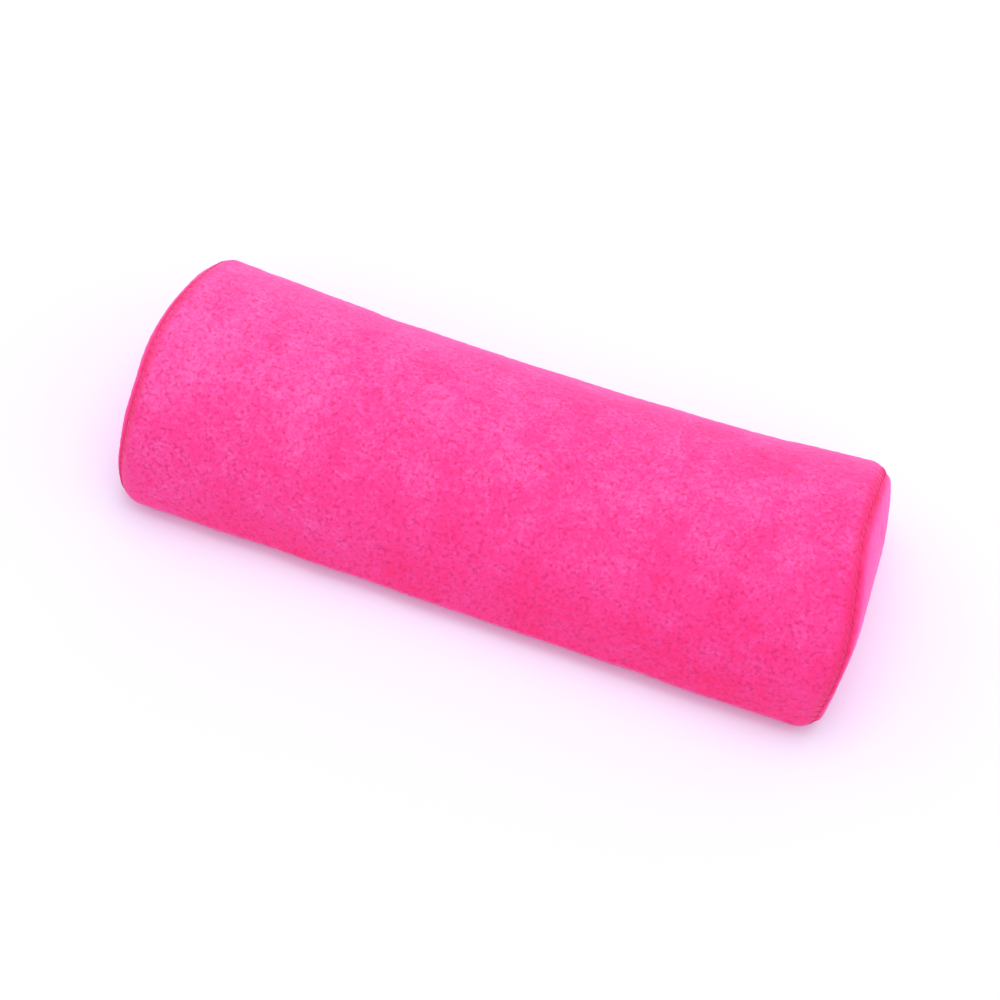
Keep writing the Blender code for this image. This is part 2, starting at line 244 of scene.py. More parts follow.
plushFabric = {
    "base": "#F84296",
    "deep": "#F82871",
    "pale": "#F869B8",
    "speck": "#D2185F",
    "seam": "#F2205F",
    "tuft": 0.0011,  # the gap between tufts, drawn about twice as coarse as it is so that it shows
    "clump": 0.0034,  # tufts that lean together
    "patch": 0.0170,  # where the pile has been stroked one way
    "tuftShare": 0.48,
    "clumpShare": 0.45,
    "patchShare": 0.48,
    "deepAt": 0.15,  # the tones at which the deep and the pale colour are reached
    "paleAt": 0.85,
    "speckShare": 0.58,
    "speckTufts": 1.5,  # how many tufts wide a speck is, and how much the clumps gather specks
    "speckClump": 0.35,
    "speckFrom": 0.675,  # the noise at which a speck begins and at which it is full
    "speckFull": 0.915,
    "seamShare": 0.75,
    "seamLeast": 0.3,  # the seam's share varies with the clumps, from this to this plus the next
    "seamSpread": 1.4,
    "paintedLight": (-0.42, 0.0, 4.7),  # tone for each metre: painted light, paler upwards on the crown and towards the left end, where the light falls
    "paintedLightStart": -0.215,
    "bump": 0.00025,
    "sheen": 0.60,
    "sheenTint": "#F2A8F0",
}


def plushMaterial(name, look):
    # Polyester short-pile plush, knitted and sheared: matte, with a pale bloom where the fibres
    # are seen edge on. Tufts part here and there and show the deeper colour between them, and
    # along a sewn seam the pile is parted all the way.
    material, tree, shader = newMaterial(name)
    place = addNode(tree, "ShaderNodeTexCoord").outputs["Object"]

    middle = 0.5 - 0.5 * (look["tuftShare"] + look["clumpShare"] + look["patchShare"])
    # painted light: the tone rises with height and towards the left end, so the crown and the left end are
    # paler
    settings = {"operation": "DOT_PRODUCT", 1: look["paintedLight"]}
    tone = addNode(tree, "ShaderNodeVectorMath", settings, {0: place}).outputs["Value"]
    settings = {"operation": "ADD", 1: middle + look["paintedLightStart"]}
    tone = addNode(tree, "ShaderNodeMath", settings, {0: tone}).outputs[0]
    grain = {}
    for part, detail in (("tuft", 2.0), ("clump", 1.5), ("patch", 2.0)):
        settings = {"Scale": 1 / look[part], "Detail": detail}
        grain[part] = addNode(tree, "ShaderNodeTexNoise", settings, {"Vector": place}).outputs["Fac"]
        settings = {"operation": "MULTIPLY_ADD", 1: look[part + "Share"]}
        tone = addNode(tree, "ShaderNodeMath", settings, {0: grain[part], 2: tone}).outputs[0]
    ramp = addNode(tree, "ShaderNodeValToRGB", links={"Fac": tone})
    ramp.color_ramp.elements[0].position = look["deepAt"]
    ramp.color_ramp.elements[0].color = linear(look["deep"])
    ramp.color_ramp.elements[1].position = look["paleAt"]
    ramp.color_ramp.elements[1].color = linear(look["pale"])
    ramp.color_ramp.elements.new(0.5).color = linear(look["base"])

    seam = addNode(tree, "ShaderNodeAttribute", {"attribute_name": "seamShade"}).outputs["Fac"]
    spread, least = (look[key] * look["seamShare"] for key in ("seamSpread", "seamLeast"))
    settings = {"operation": "MULTIPLY_ADD", 1: spread, 2: least}
    uneven = addNode(tree, "ShaderNodeMath", settings, {0: grain["clump"]}).outputs[0]
    settings = {"operation": "MULTIPLY"}
    parted = addNode(tree, "ShaderNodeMath", settings, {0: seam, 1: uneven}).outputs[0]
    settings = {"data_type": "RGBA", 7: linear(look["seam"])}
    links = {0: parted, 6: ramp.outputs["Color"]}
    colour = addNode(tree, "ShaderNodeMix", settings, links).outputs[2]

    # a speck where both the fine noise and the clump run high
    settings = {"Scale": 1 / (look["speckTufts"] * look["tuft"]), "Detail": 1.0}
    gaps = addNode(tree, "ShaderNodeTexNoise", settings, {"Vector": place}).outputs["Fac"]
    settings = {"operation": "MULTIPLY_ADD", 1: look["speckClump"]}
    gaps = addNode(tree, "ShaderNodeMath", settings, {0: grain["clump"], 2: gaps}).outputs[0]
    settings = {"From Min": look["speckFrom"], "From Max": look["speckFull"], "To Max": look["speckShare"]}
    speck = addNode(tree, "ShaderNodeMapRange", settings, {"Value": gaps}).outputs["Result"]
    settings = {"data_type": "RGBA", 7: linear(look["speck"])}
    colour = addNode(tree, "ShaderNodeMix", settings, {0: speck, 6: colour}).outputs[2]
    tree.links.new(colour, shader.inputs["Base Color"])
    bump = addNode(
        tree, "ShaderNodeBump", {"Strength": 0.6, "Distance": look["bump"]}, {"Height": grain["tuft"]}
    )
    tree.links.new(bump.outputs["Normal"], shader.inputs["Normal"])
    setShader(
        shader,
        {
            "Roughness": 0.95,
            "Specular IOR Level": 0.15,
            "Sheen Weight": look["sheen"],
            "Sheen Roughness": 0.45,
            "Sheen Tint": linear(look["sheenTint"]),
        },
    )
    return material


foamFinish = {
    "pore": "#C9C2AE",
    "wall": "#F1EDE0",
    "wallAt": 0.45,  # how far out from a pore's middle its wall begins
    "scale": 900,  # pores about 1.1 mm apart
    "bump": 0.0003,
}


def foamMaterial(look):
    # Open-cell polyurethane foam, cut from a block: chalky, off-white, full of small pores.
    material, tree, shader = newMaterial("openCellFoam")
    place = addNode(tree, "ShaderNodeTexCoord").outputs["Object"]
    settings = {"Scale": look["scale"]}
    pores = addNode(tree, "ShaderNodeTexVoronoi", settings, {"Vector": place}).outputs["Distance"]
    ramp = addNode(tree, "ShaderNodeValToRGB", links={"Fac": pores})
    ramp.color_ramp.elements[0].color = linear(look["pore"])
    ramp.color_ramp.elements[1].color = linear(look["wall"])
    ramp.color_ramp.elements[1].position = look["wallAt"]
    tree.links.new(ramp.outputs["Color"], shader.inputs["Base Color"])
    settings = {"Strength": 0.5, "Distance": look["bump"]}
    bump = addNode(tree, "ShaderNodeBump", settings, {"Height": pores})
    tree.links.new(bump.outputs["Normal"], shader.inputs["Normal"])
    setShader(shader, {"Roughness": 1.0, "Specular IOR Level": 0.2})
    return material


tapeFinish = {
    "valley": "#C21F60",
    "rib": "#EA3C84",
    "scale": 260,  # ribs 1.2 mm apart, drawn about twice as coarse as they are so that they show
    "slant": np.radians(38),
    "bump": 0.0001,
}


def tapeMaterial(look):
    # Polyester zip tape, woven as a twill: thin ribs that slant across it.
    material, tree, shader = newMaterial("wovenZipTape")
    place = addNode(tree, "ShaderNodeTexCoord").outputs["Object"]
    settings = {"Rotation": (0, 0, look["slant"])}
    turned = addNode(tree, "ShaderNodeMapping", settings, {"Vector": place}).outputs["Vector"]
    settings = {"bands_direction": "X", "Scale": look["scale"], "Distortion": 0.6}
    ribs = addNode(tree, "ShaderNodeTexWave", settings, {"Vector": turned}).outputs["Fac"]
    ramp = addNode(tree, "ShaderNodeValToRGB", links={"Fac": ribs})
    ramp.color_ramp.elements[0].color = linear(look["valley"])
    ramp.color_ramp.elements[1].color = linear(look["rib"])
    tree.links.new(ramp.outputs["Color"], shader.inputs["Base Color"])
    settings = {"Strength": 0.6, "Distance": look["bump"]}
    bump = addNode(tree, "ShaderNodeBump", settings, {"Height": ribs})
    tree.links.new(bump.outputs["Normal"], shader.inputs["Normal"])
    setShader(shader, {"Roughness": 0.85, "Specular IOR Level": 0.3})
    return material


nylonFinish = {
    "dark": "#D9256F",
    "light": "#F04F96",
    "scale": 120,  # the dye took unevenly, over about 8 mm
    "roughness": 0.32,
    "ior": 1.53,
}


def nylonMaterial(look):
    # Nylon monofilament, drawn and dyed: smooth and a little glossy, and slightly uneven in tone.
    material, tree, shader = newMaterial("nylonCoil")
    place = addNode(tree, "ShaderNodeTexCoord").outputs["Object"]
    settings = {"Scale": look["scale"], "Detail": 1.0}
    tone = addNode(tree, "ShaderNodeTexNoise", settings, {"Vector": place}).outputs["Fac"]
    ramp = addNode(tree, "ShaderNodeValToRGB", links={"Fac": tone})
    ramp.color_ramp.elements[0].color = linear(look["dark"])
    ramp.color_ramp.elements[1].color = linear(look["light"])
    tree.links.new(ramp.outputs["Color"], shader.inputs["Base Color"])
    setShader(shader, {"Roughness": look["roughness"], "IOR": look["ior"]})
    return material


zincFinish = {
    "plate": "#D3D0CC",
    "smooth": 0.16,  # the lowest and the highest roughness in the haze
    "hazed": 0.38,
    "scale": 900,  # patches of haze about 1.1 mm across
    "bump": 0.00004,
}


def zincMaterial(look):
    # Die-cast zinc with barrel-polished nickel plate: bright, with a fine haze and faint scuffs.
    material, tree, shader = newMaterial("nickelPlatedZinc")
    place = addNode(tree, "ShaderNodeTexCoord").outputs["Object"]
    settings = {"Scale": look["scale"], "Detail": 3.0}
    haze = addNode(tree, "ShaderNodeTexNoise", settings, {"Vector": place}).outputs["Fac"]
    settings = {"To Min": look["smooth"], "To Max": look["hazed"]}
    rough = addNode(tree, "ShaderNodeMapRange", settings, {"Value": haze})
    tree.links.new(rough.outputs["Result"], shader.inputs["Roughness"])
    settings = {"Strength": 0.25, "Distance": look["bump"]}
    bump = addNode(tree, "ShaderNodeBump", settings, {"Height": haze})
    tree.links.new(bump.outputs["Normal"], shader.inputs["Normal"])
    setShader(shader, {"Base Color": linear(look["plate"]), "Metallic": 1.0})
    return material


threadFinish = {
    "ply": "#E83480",
    "shade": "#D6286C",  # between the plies
    "shadeShare": 0.45,
    "scale": 700,  # a ply every 0.9 mm
    "bump": 0.00006,
}


def threadMaterial(look):
    # Twisted polyester sewing thread: two plies that show as a fine slanting rib.
    material, tree, shader = newMaterial("crimsonThread")
    place = addNode(tree, "ShaderNodeTexCoord").outputs["Object"]
    settings = {"bands_direction": "DIAGONAL", "Scale": look["scale"], "Distortion": 0.5}
    twist = addNode(tree, "ShaderNodeTexWave", settings, {"Vector": place}).outputs["Fac"]
    settings = {"operation": "MULTIPLY", 1: look["shadeShare"]}
    share = addNode(tree, "ShaderNodeMath", settings, {0: twist}).outputs[0]
    settings = {"data_type": "RGBA", 6: linear(look["ply"]), 7: linear(look["shade"])}
    tone = addNode(tree, "ShaderNodeMix", settings, {0: share})
    tree.links.new(tone.outputs[2], shader.inputs["Base Color"])
    settings = {"Strength": 0.5, "Distance": look["bump"]}
    bump = addNode(tree, "ShaderNodeBump", settings, {"Height": twist})
    tree.links.new(bump.outputs["Normal"], shader.inputs["Normal"])
    setShader(shader, {"Roughness": 0.7, "Specular IOR Level": 0.3})
    return material


# The camera stands where the photograph was taken from: in front, to the right and above, turned
# a little to its left.

cameraView = {
    "azimuth": 14.11,
    "elevation": 55.42,
    "roll": 6.51,
    "distance": 0.5898,
    "aim": (0.0036, -0.0179, 0.0300),
    "focalPixels": 1491.9,
    "picturePixels": 1000,
    "sensor": 36.0,
}


def placeCamera(view):
    # right and up are the level camera's, turned about the line of sight by the roll
    azimuth, elevation, roll = (np.radians(view[k]) for k in ("azimuth", "elevation", "roll"))
    cosE, sinE = np.cos(elevation), np.sin(elevation)
    ahead = np.array([-np.sin(azimuth) * cosE, np.cos(azimuth) * cosE, -sinE])
    level = np.array([np.cos(azimuth), np.sin(azimuth), 0.0])
    upright = np.cross(level, ahead)
    right = np.cos(roll) * level + np.sin(roll) * upright
    up = -np.sin(roll) * level + np.cos(roll) * upright
    spot = np.array(view["aim"]) - ahead * view["distance"]
    data = bpy.data.cameras.new("camera")
    data.sensor_width = view["sensor"]
    data.lens = view["focalPixels"] / view["picturePixels"] * view["sensor"]
    data.clip_start, data.clip_end = 0.01, 20.0
    camera = bpy.data.objects.new("camera", data)
    bpy.context.scene.collection.objects.link(camera)
    turned = Matrix.Identity(4)
    for row in range(3):
        turned[row][:] = (right[row], up[row], -ahead[row], spot[row])
    camera.matrix_world = turned
    bpy.context.scene.camera = camera


placeCamera(cameraView)


# The section of the rest, and the surface that it makes along the length.


def straight(start, end, normal, steps):
    # evenly spaced points from start to end, with the same normal
    share = np.linspace(0, 1, steps + 1)[:, None]
    places = np.array(start) + share * (np.array(end) - np.array(start))
    return np.hstack([places, np.tile(normal, (steps + 1, 1))])


def arc(centre, halfWidth, halfHeight, first, last, steps):
    # an ellipse's points with the normals (b cos, a sin)
    angle = np.linspace(first, last, steps + 1)
    cos, sin = np.cos(angle), np.sin(angle)
    normal = np.column_stack([halfHeight * cos, halfWidth * sin])
    normal /= np.linalg.norm(normal, axis=1)[:, None]
    return np.column_stack([centre[0] + halfWidth * cos, centre[1] + halfHeight * sin, normal])


def sectionColumns(c, withHems):
    # The outline from the hem, or the middle of the base, over the front foot to the crown, and its
    # mirror image. Columns: y, z, normal y and z, inwards y and z, angle round the dome, and how much
    # of the shoulder's radius applies, which is none on the hem and by the zip.
    half, r, cell = c["width"] / 2, c["footRadius"], c["cell"]
    footY, domeHeight = half - r, c["height"] - r

    def steps(length):
        return coarseStep * max(1, round(length / cell / coarseStep))

    domeSteps, footSteps = steps(np.pi / 2 * half), steps(np.pi / 2 * r)
    baseSteps, foldSteps = steps(footY - c["foldY"]), steps(np.pi * c["foldRadius"])
    foot = arc((-footY, r), r, r, 1.5 * np.pi, np.pi, footSteps)
    dome = arc((0, r), half, domeHeight, np.pi, np.pi / 2, domeSteps)
    base = straight((-c["foldY"], 0), (-footY, 0), (0, -1), baseSteps)
    if withHems:
        top, turn = 2 * c["foldRadius"], c["foldRadius"]
        hem = straight((-c["foldY"] - c["hemWidth"], top), (-c["foldY"], top), (0, 1), steps(c["hemWidth"]))
        fold = arc((-c["foldY"], turn), turn, turn, np.pi / 2, -np.pi / 2, foldSteps)
        lower = np.vstack([hem[:-1], fold[:-1], base[:-1], foot[:-1]])
    else:
        middle = straight((0, 0), (-c["foldY"], 0), (0, -1), steps(c["foldY"]))
        lower = np.vstack([middle[:-1], base[:-1], foot[:-1]])
    rolls = smoothStep((-lower[:, 0] - c["foldY"]) / (footY - c["foldY"]))
    rolls[: -baseSteps - footSteps] = 0
    angle = np.concatenate([np.zeros(len(lower)), np.linspace(0, np.pi / 2, domeSteps + 1)])
    front = np.vstack([lower, dome])
    inwards = -front[:, 2:]
    inwards[: len(lower) - footSteps] = (0, 1)
    rolls = np.concatenate([rolls, np.ones(len(dome))])
    front = np.column_stack([front, inwards, angle, rolls])
    behind = front[::-1][1:].copy()
    behind[:, [0, 2, 4]] *= -1
    behind[:, 6] = np.pi - behind[:, 6]
    return np.vstack([front, behind])


def footToFoot(columns):
    # true on the dome and both feet, and false on the base
    angle, rolls = columns[:, 6], columns[:, 7]
    return (np.sin(angle) > 0.001) | (rolls >= 1)


def cosines(shares, angle):
    # the sum of each share times the cosine of its number times the angle
    return sum(share * np.cos(turns * angle) for turns, share in enumerate(shares))


def seamPlaces(c, columns, along):
    # the seam's distance from the middle, and the shoulder's radius, which goes from the crown's to
    # the foot's by a power of the angle's cosine
    angle, rolls = columns[:, 6], columns[:, 7]
    fade = np.abs(np.cos(angle)) ** c["shoulderFade"]

    def shoulder(radii):
        return radii[1] + (np.where(angle < np.pi / 2, radii[0], radii[2]) - radii[1]) * fade

    left = along < 0
    setback = np.where(left, cosines(c["setbackLeft"], angle), cosines(c["setbackRight"], angle)) / 1000
    roll = np.where(left, shoulder(c["shoulderLeft"]), shoulder(c["shoulderRight"])) * rolls
    return c["length"] / 2 - setback, roll


def coverPoints(c, columns, along, depth):
    # along runs from -1 at the left seam to 1 at the right one. x is the seam's x times it. The crown
    # sinks by a parabola towards the middle, and near the seam the cover turns in by an arc.
    y, z, normalY, normalZ, inY, inZ, angle, _ = columns.T
    along = along[:, None]
    seamX, roll = seamPlaces(c, columns, along)
    x = seamX * along
    upness = np.sin(angle)
    waist = c["waistDrop"] * np.maximum(upness, 0) ** c["waistSpread"] * (upness > 0.001)
    drop = waist * (1 - along**2) * (1 + c["waistSkew"] * along) + upness * c["crownTilt"] * along**3
    flank = 1 - smoothStep((-normalZ - c["sagFrom"]) / c["sagSpan"])  # the flat base doesn't sag
    drop = drop + cosines(c["sag"], angle) * flank / 1000
    intoArc = np.clip(np.abs(x) - seamX + c["shoulderTurn"] * roll, 0, c["shoulderTurn"] * roll)
    inset = drop + roll - np.sqrt(roll**2 - intoArc**2)
    return np.stack([x, y - normalY * depth + inY * inset, z - normalZ * depth + inZ * inset], axis=2)


def alongShares(c):
    # finer near the seams: the distance from the seam grows as fine t plus (1 - fine) t squared
    fine = c["finest"]
    count = coarseStep * round(c["length"] / 2 / c["cell"] / coarseStep)
    t = np.linspace(0, 1, count + 1)
    away = fine * t + (1 - fine) * t * t
    return np.concatenate([-1 + away, (1 - away)[:-1][::-1]])


def borderLoop(rows, columns, first=0):
    # the border of a grid, once round, starting at its first corner
    corner = first + np.arange(rows * columns).reshape(rows, columns)
    return np.concatenate([corner[0, :-1], corner[:-1, -1], corner[-1, :0:-1], corner[:0:-1, 0]])


def shellFaces(outerShape, innerShape, ratio):
    # outer cells, inner cells turned round, and rims that join one inner edge to `ratio` outer edges
    start = outerShape[0] * outerShape[1]
    outer = gridQuads(*outerShape)
    inner = gridQuads(*innerShape, first=start)[:, ::-1]
    outerLoop, innerLoop = borderLoop(*outerShape), borderLoop(*innerShape, first=start)
    steps = np.arange(len(innerLoop))
    outerPart = outerLoop[(ratio * steps[:, None] + np.arange(ratio + 1)) % len(outerLoop)]
    rims = np.column_stack([outerPart, innerLoop[(steps + 1) % len(innerLoop)], innerLoop])
    return outer.tolist() + inner.tolist() + rims.tolist()


# The stuffed shape of the cover. Blender's cloth blows the sewn cover up against its seams and base,
# which stay where they are, and each point of the finer surface moves with the cloth round it.

stuffing = {
    "inset": 0.0001,  # the cover starts this much inside its final shape
    "cap": 0.00035,  # and moves no further than this
    "pressure": 20.0,
    "ease": -0.015,  # minus the share by which the cloth is cut larger than what it covers
    "weight": 0.01,
    "stretch": 20,  # stiffness against stretching, shearing and bending
    "shear": 8,
    "bend": 4,
    "quality": 6,
    "frames": 20,
    "freeFrom": 0.40,  # the wrap is free where its normal's z is above this
    "heldSpan": 0.55,  # and held where it is this much lower
    "seamHold": 0.006,  # it is held this close to its end seams, and the panels this close to theirs
    "panelHold": 0.002,
}


def blowUp(points, faces, held, s):
    # the shift of each point once the cloth has settled, eased off towards the cap by a tanh
    mesh = bpy.data.meshes.new("cloth")
    mesh.from_pydata(points, [], faces)
    cover = bpy.data.objects.new("cloth", mesh)
    scene = bpy.context.scene
    scene.collection.objects.link(cover)
    cover.vertex_groups.new(name="sewn").add(np.flatnonzero(held).tolist(), 1.0, "REPLACE")
    cloth = cover.modifiers.new("cloth", "CLOTH")
    cloth.settings.quality = s["quality"]
    cloth.settings.mass = s["weight"]
    cloth.settings.tension_stiffness = s["stretch"]
    cloth.settings.compression_stiffness = s["stretch"]
    cloth.settings.shear_stiffness = s["shear"]
    cloth.settings.bending_stiffness = s["bend"]
    cloth.settings.vertex_group_mass = "sewn"
    cloth.settings.use_pressure = True
    cloth.settings.uniform_pressure_force = s["pressure"]
    cloth.settings.shrink_min = s["ease"]
    cloth.settings.effector_weights.gravity = 0
    cloth.point_cache.frame_start, cloth.point_cache.frame_end = 1, s["frames"]
    for frame in range(1, s["frames"] + 1):
        scene.frame_set(frame)
    settled = cover.evaluated_get(bpy.context.evaluated_depsgraph_get()).data
    moved = np.empty(len(points) * 3)
    settled.vertices.foreach_get("co", moved)
    bpy.data.objects.remove(cover)
    scene.frame_set(1)
    shift = moved.reshape(-1, 3) - points
    reach = np.maximum(np.linalg.norm(shift, axis=1), 1e-9)[:, None]
    return shift * s["cap"] * np.tanh(reach / s["cap"]) / reach


def between(coarse, count):
    # Catmull-Rom weights that give `count` rows from the `coarse` rows that are a coarse step apart
    place = np.arange(count) / coarseStep
    low = np.minimum(place.astype(int), coarse - 2)
    t = place - low
    parts = [-t + 2 * t**2 - t**3, 2 - 5 * t**2 + 3 * t**3, t + 4 * t**2 - 3 * t**3, -(t**2) + t**3]
    weights = np.zeros((count, coarse))
    for offset, part in enumerate(parts):
        at = np.clip(low + offset - 1, 0, coarse - 1)
        np.add.at(weights, (np.arange(count), at), part / 2)
    return weights


def stuffed(surface, normal, held, s, pole=False, mirrored=False):
    # the surface, drawn in by the inset where it isn't held, and then blown up
    surface = surface - normal * (s["inset"] * (1 - held))[..., None]
    coarse = surface[::coarseStep, ::coarseStep]
    rows, columns = coarse.shape[:2]
    pinned = held[::coarseStep, ::coarseStep] > 0.5
    faces = gridQuads(rows, columns)
    if pole:
        # the last ring is one point in the middle
        faces = gridQuads(rows - 1, columns).tolist()
        ring = (rows - 2) * columns + np.arange(columns - 1)
        hub = np.full(columns - 1, (rows - 1) * columns)
        faces = faces + np.column_stack([ring, hub, ring + 1]).tolist()
        if mirrored:
            faces = [face[::-1] for face in faces]
        flat = np.concatenate([coarse[:-1].reshape(-1, 3), coarse[-1:, 0]])
        shift = blowUp(flat, faces, np.append(pinned[:-1].ravel(), False), s)
        hubShift = np.repeat(shift[-1:], columns, axis=0)[None]
        shift = np.concatenate([shift[:-1].reshape(rows - 1, columns, 3), hubShift])
    else:
        shift = blowUp(coarse.reshape(-1, 3), faces.tolist(), pinned.ravel(), s).reshape(rows, columns, 3)
    rowWeights = between(rows, surface.shape[0])
    columnWeights = between(columns, surface.shape[1])
    shift = np.einsum("ai,bj,ijk->abk", rowWeights, columnWeights, shift, optimize=True)
    sunk = np.minimum((shift * normal).sum(axis=2), 0)  # the foam stops it from sinking
    return surface + (shift - normal * sunk[..., None]) * (1 - held)[..., None]


def coverWrap(c, s, material):
    # The blown-up surface, moved along its normal by lumps, pile and gathers, which are cosines of the
    # length round the rest that fade away from the seam, and drawn in at the seam and the hems' lines.
    columns = sectionColumns(c, withHems=True)
    along = alongShares(c)
    smooth = coverPoints(c, columns, along, 0)
    normal = normalsOf(smooth)
    seamX = seamPlaces(c, columns, along[:, None])[0]
    fromSeam = (1 - np.abs(along))[:, None] * seamX
    resting = smoothStep((-normal[..., 2] - c["baseFrom"]) / c["baseSpan"])  # the base stays flat
    onDome = footToFoot(columns)
    nearSeam = 1 - smoothStep(fromSeam / s["seamHold"])
    held = np.maximum(smoothStep((s["freeFrom"] - normal[..., 2]) / s["heldSpan"]), nearSeam)
    held = np.maximum(held, (columns[:, 7] < 1)[None, :])
    outer = stuffed(smooth, normal, held, s)
    lengthRound = np.cumsum(np.r_[0, np.hypot(*np.diff(columns[:, :2], axis=0).T)])
    wander = softNoise(smooth, c["gatherWander"], seed=11)
    gather = np.cos(2 * np.pi * lengthRound / c["gatherPitch"] + c["gatherShift"] * wander)
    gather = gather * np.exp(-fromSeam / c["gatherReach"]) * c["gatherHeight"]
    groove = (1 - smoothStep(fromSeam / c["grooveWidth"])) * c["grooveDepth"]
    lumps = softNoise(smooth, c["lumpSize"], seed=3) * c["lumpHeight"]
    pile = softNoise(smooth, c["pileSize"], seed=7) * c["pileHeight"]
    free = (1 - resting) * (1 - nearSeam)
    outer = outer + normal * ((lumps + pile + gather) * free - groove * onDome)[..., None]
    fromHemLine = np.abs(np.abs(smooth[..., 1]) - c["hemLine"])
    pressed = (1 - smoothStep(fromHemLine / c["hemGroove"])) * (normal[..., 2] < c["hemFacing"])
    outer[..., 2] += pressed * c["hemDepth"]
    inner = coverPoints(c, columns[::coarseStep], along[::coarseStep], c["plush"])
    inner = inner + (outer - smooth)[::coarseStep, ::coarseStep]
    points = np.concatenate([outer.reshape(-1, 3), inner.reshape(-1, 3)])
    faces = shellFaces(outer.shape[:2], inner.shape[:2], coarseStep)
    piece = makePiece("plushWrap", points, faces, material)
    shade = 1 - smoothStep(fromSeam / c["shadeReach"])
    addShade(piece, np.concatenate([shade.ravel(), np.zeros(inner.shape[0] * inner.shape[1])]))
    settle(piece, "cushion", ["cover_wrap"])
    return outer[:, onDome], columns[onDome]


panel = {
    "edge": 0.00005,  # the panel's thickness at its very edge, and its gap from the wrap's edge
    "clearance": 0.00003,
    "bead": 0.0014,  # the turned-in allowance puffs the panel's edge up into a quarter round
    "centre": 0.42,  # height of the dome's top as a share of the rest's height
    "roundY": 0.047,  # half axes of the ellipse that the inner rings settle to
    "roundZ": 0.031,
    "roundness": 1.6,  # how soon the rings turn to the ellipse
    "fullness": 2.9,
    "puffLeft": 0.90,  # below 1 the panel leaves its seam more steeply
    "puffRight": 0.80,
    "crownLeft": 0.1499,  # x of the dome's top
    "crownRight": 0.1505,
    "rings": 44,
    "edgeRoll": 0.0022,  # the stitches draw the edge in by the depth, as far in as the roll
    "edgeDepth": 0.0001,
    "joinReach": 0.003,  # how far in the panel bends to meet the wrap's edge
    "evenColumns": 10,  # how many columns share out the step where the panel closes on itself
    "lumpHeight": 0.00014,
    "lumpSize": 0.030,
    "shadeReach": 0.0014,
}


def domeRings(c, p, columns, side, depth, gap, bead, crownX, count):
    # Each ring is the seam's outline times its size, easing from the D of the seam to an ellipse near
    # the middle. x rises from the seam to the crown as one minus size to the power of the fullness,
    # all to the power of the puff, from the top of a quarter round as wide as the bead.
    outline = coverPoints(c, columns, np.array([side]), 0)[0]
    edge = coverPoints(c, columns, np.array([side]), depth)[0]
    centre = np.array([0, c["height"] * p["centre"]])
    reach = edge[:, 1:] - centre
    length = np.linalg.norm(reach, axis=1)
    full = np.linalg.norm(outline[:, 1:] - centre, axis=1)
    way = reach / length[:, None]
    ellipse = 1 / np.hypot(way[:, 0] / p["roundY"], way[:, 1] / p["roundZ"])
    size = np.cos(np.linspace(0, np.pi / 2, count + 1))[:, None]
    blend = size ** p["roundness"]
    fromEdge = (1 - size) * length
    radius = size * (blend * length + (1 - blend) * ellipse)
    radius = radius - (1 - smoothStep(fromEdge / p["edgeRoll"])) * p["edgeDepth"]
    edgeShare = 1 - np.clip(fromEdge / max(bead, 1e-6), 0, 1)
    seamX = np.abs(outline[:, 0]) + gap + bead * np.sqrt(1 - edgeShare**2)
    puff = p["puffLeft"] if side < 0 else p["puffRight"]
    rise = np.maximum(1 - (size * length / full) ** p["fullness"], 0) ** puff
    x = seamX + (crownX - seamX) * rise
    ring = centre + radius[..., None] * way
    return np.concatenate([(side * x)[..., None], ring], axis=2), fromEdge


def endPanel(name, side, node, c, p, s, wrapEdge, material):
    # the blown-up dome with lumps and pile along its normal, sewn to the wrap's edge
    columns = sectionColumns(c, withHems=False)
    crownX = p["crownLeft"] if side < 0 else p["crownRight"]
    gap = p["clearance"] + p["edge"]
    smooth, fromEdge = domeRings(c, p, columns, side, 0, gap, p["bead"], crownX, p["rings"])
    innerX = crownX - c["plush"]
    innerRings = p["rings"] // coarseStep
    inner = domeRings(c, p, columns, side, 0, p["clearance"], 0, innerX, innerRings)[0]
    normal = normalsOf(smooth) * side
    normal[-1] = (side, 0, 0)
    held = 1 - smoothStep(fromEdge / s["panelHold"])
    outer = stuffed(smooth, normal, held, s, pole=True, mirrored=side < 0)
    lumps = softNoise(smooth, p["lumpSize"], seed=5) * p["lumpHeight"]
    lumps = lumps + softNoise(smooth, c["pileSize"], seed=8) * c["pileHeight"]
    outer = outer + normal * (lumps * (1 - held))[..., None]
    outer[-1] = outer[-1].mean(axis=0)
    onDome = footToFoot(columns)
    miss = np.zeros_like(outer[0])
    miss[onDome] = wrapEdge + (side * gap, 0, 0) - outer[0][onDome]
    outer = outer + miss * (1 - smoothStep(fromEdge / p["joinReach"]))[..., None]
    # the panel's first and last columns meet under its middle, so the cloth's step there is evened out
    step = (outer[:, -1:] - outer[:, :1]) / 2
    fade = 1 - smoothStep(np.arange(len(columns)) / p["evenColumns"])
    outer = outer + step * (fade - fade[::-1])[:, None]
    points = np.concatenate([outer[::-1], inner])
    shade = 1 - smoothStep(fromEdge / p["shadeReach"])
    piece = makePiece(name, points, gridQuads(*points.shape[:2]).tolist(), material)
    addShade(piece, np.concatenate([shade[::-1].ravel(), np.zeros(inner.shape[0] * inner.shape[1])]))
    closeUp(piece)
    settle(piece, "cushion", [node])
    return outer[:, onDome]


foamBlock = {
    "clearance": 0.0005,  # between the foam and the fabric
    "dentHeight": 0.0103,  # the zip presses a shallow channel into the base
    "dentHalf": 0.0062,
    "hemHeight": 0.0068,  # and the hems a shallower one on either side
    "hemHalf": 0.0172,
    "cell": 0.003,
    "rings": 14,
}


